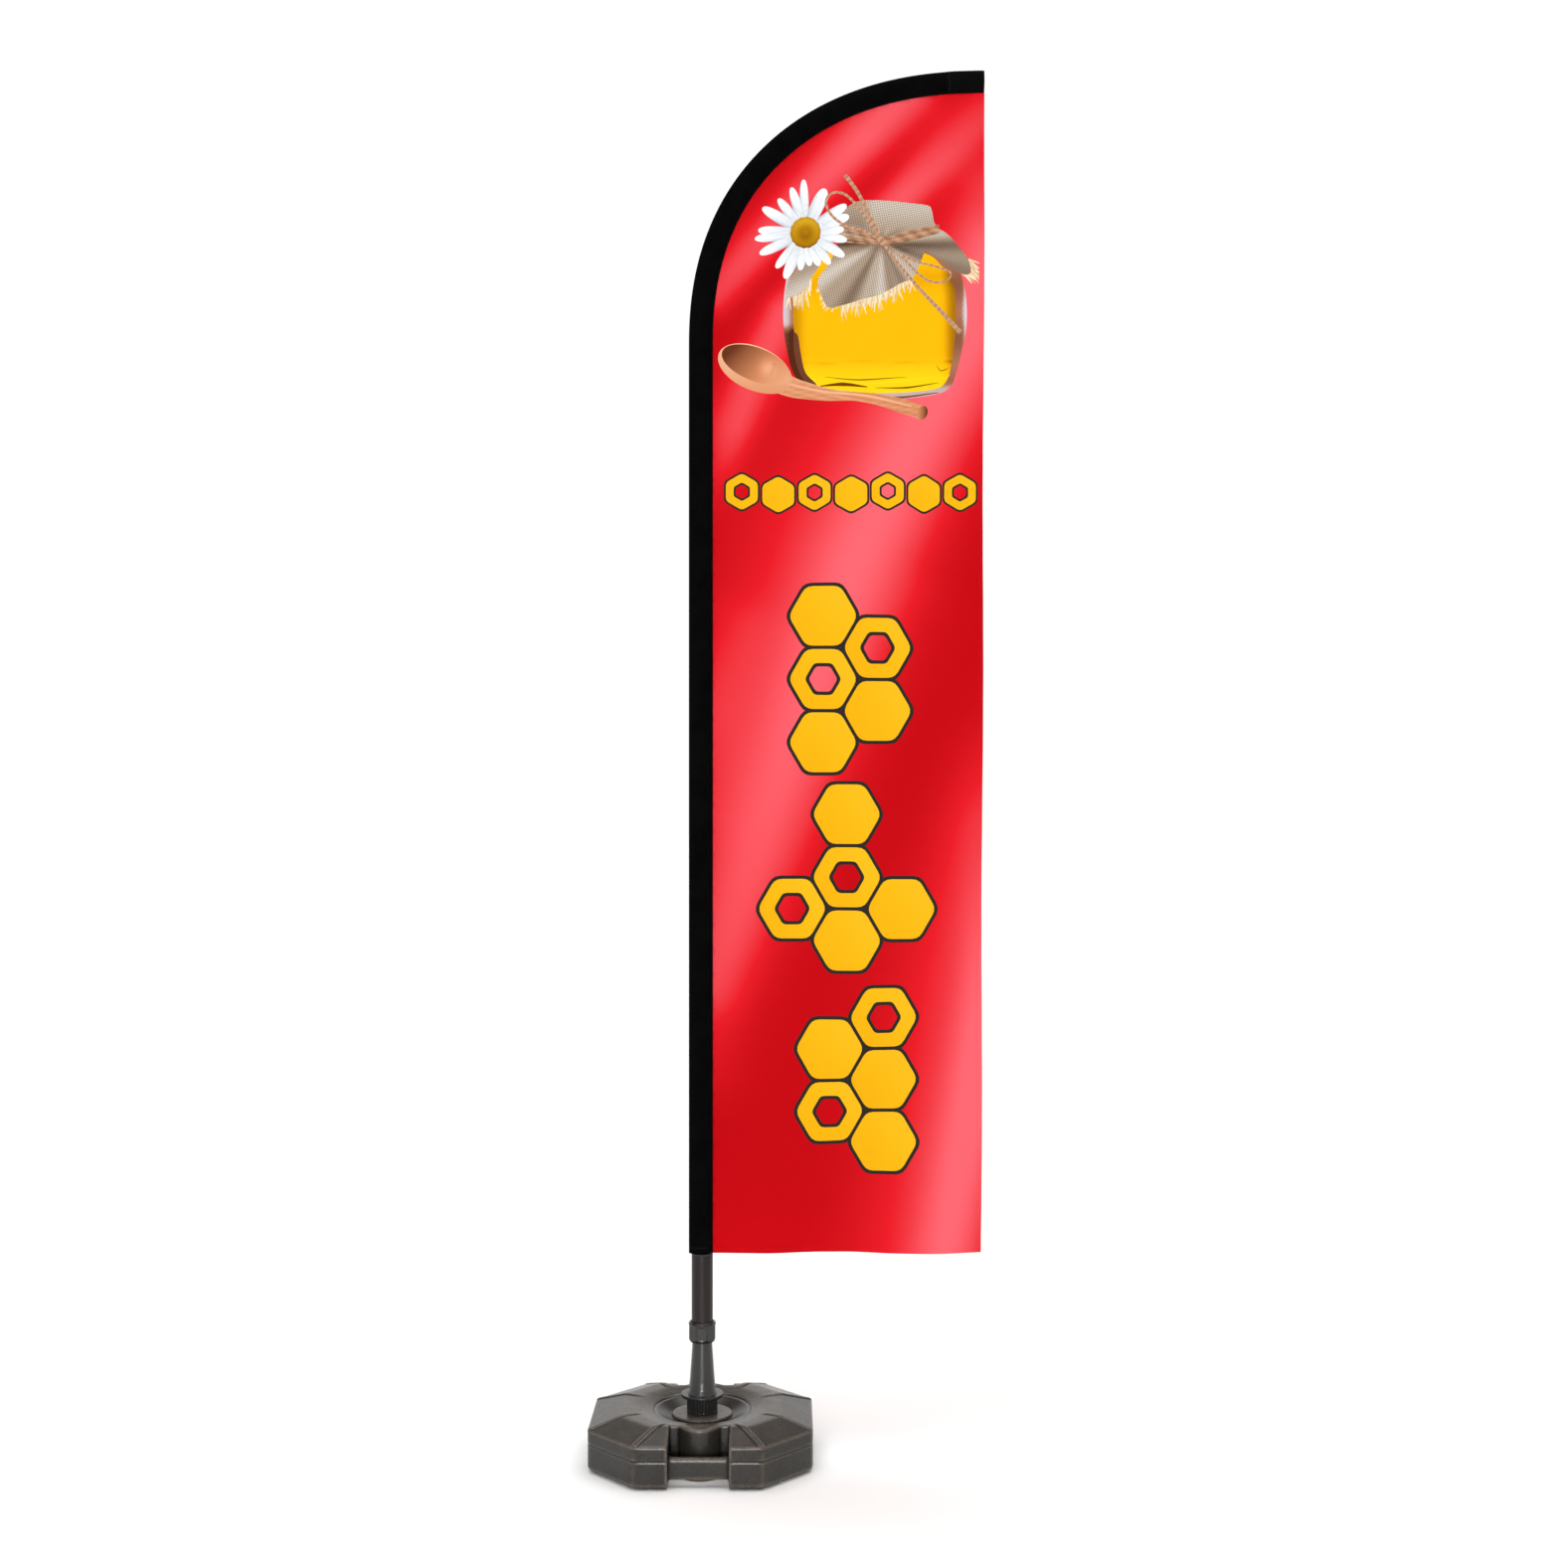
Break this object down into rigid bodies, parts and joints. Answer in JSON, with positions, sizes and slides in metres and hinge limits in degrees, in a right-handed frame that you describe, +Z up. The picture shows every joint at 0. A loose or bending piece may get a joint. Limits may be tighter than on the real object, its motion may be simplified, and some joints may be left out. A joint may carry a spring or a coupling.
{
  "type": "feather flag on a water-filled base",
  "caption": "Tall feather flag with a bent-over pole sleeve, a turning pole on ball bearings, and an eight-sided water-filled base with carry bars.",
  "frame": {"origin": "on the floor, on the axis that the flag turns about, in the middle of the tank's underside", "axes": "+Z up along the pole, +X from the pole towards the flag's free edge, -Y towards the viewer of the printed face"},
  "size_m": [0.996, 0.51, 3.517],
  "materials": {
    "tank_plastic": "moulded, lightly textured",
    "water": "water",
    "holder_plastic": "moulded, half gloss",
    "rubber": "matte",
    "steel": "ground",
    "black_aluminium": "black powder coat",
    "aluminium": "satin",
    "fibreglass": "satin",
    "nylon": "satin",
    "sleeve_fabric": "woven polyester",
    "flag_fabric": "satin knitted polyester, printed",
    "webbing": "woven strap"
  },
  "bodies": {
    "base": {"tank": "tank_plastic", "water_ballast": "water"},
    "seal": {"neck_gasket": "rubber"},
    "neck": {"pole_holder": "holder_plastic", "spindle": "steel", "spindle_foot_plug": "nylon", "spindle_cap": "nylon", "lower_retaining_ring": "steel", "upper_retaining_ring": "steel", "lower_bearing_inner_race": "steel", "upper_bearing_inner_race": "steel", "inner_race_spacer": "aluminium"},
    "collet": {"collet_ring": "nylon"},
    "nut": {"clamp_nut": "holder_plastic"},
    "lower_cage": {"lower_bearing_ball_cage": "steel"},
    "upper_cage": {"upper_bearing_ball_cage": "steel"},
    "flag": {"turning_tube": "black_aluminium", "tube_retaining_ring": "steel", "lower_bearing_outer_race": "steel", "upper_bearing_outer_race": "steel", "outer_race_spacer": "aluminium", "mast_reducer": "nylon", "tab_screw": "steel", "lower_mast": "aluminium", "lower_ferrule": "steel", "middle_mast": "aluminium", "middle_ferrule": "steel", "lower_rod": "fibreglass", "upper_ferrule": "steel", "tip_rod": "fibreglass", "tip_cap": "rubber", "flag_sleeve": "sleeve_fabric", "sleeve_end_patch": "webbing", "flag_panel": "flag_fabric", "tension_tab": "webbing"}
  },
  "joints": [
    {"name": "neck_lift", "type": "slide", "parent": "base", "child": "seal", "axis": [0, 0, 1], "range_m": [0, 0.018]},
    {"name": "neck_turn", "type": "hinge", "parent": "seal", "child": "neck", "pos_m": [0, 0, 0.112], "axis": [0, 0, 1], "range_deg": [0, 1080]},
    {"name": "collet_lift", "type": "slide", "parent": "neck", "child": "collet", "axis": [0, 0, 1], "range_m": [0, 0.004]},
    {"name": "nut_turn", "type": "hinge", "parent": "collet", "child": "nut", "pos_m": [0, 0, 0.3175], "axis": [0, 0, 1], "range_deg": [0, 360]},
    {"name": "flag_swivel", "type": "hinge", "parent": "neck", "child": "flag", "pos_m": [0, 0, 0.394], "axis": [0, 0, 1], "continuous": true},
    {"name": "lower_cage_spin", "type": "hinge", "parent": "neck", "child": "lower_cage", "pos_m": [0, 0, 0.342], "axis": [0, 0, 1], "continuous": true},
    {"name": "upper_cage_spin", "type": "hinge", "parent": "neck", "child": "upper_cage", "pos_m": [0, 0, 0.446], "axis": [0, 0, 1], "continuous": true}
  ],
  "couplings": [
    {"joint": "neck_lift", "follows": "neck_turn", "m_per_rad": 0.0009549},
    {"joint": "collet_lift", "follows": "nut_turn", "m_per_rad": 0.0006366},
    {"joint": "lower_cage_spin", "follows": "flag_swivel", "ratio": 0.597},
    {"joint": "upper_cage_spin", "follows": "flag_swivel", "ratio": 0.597}
  ]
}
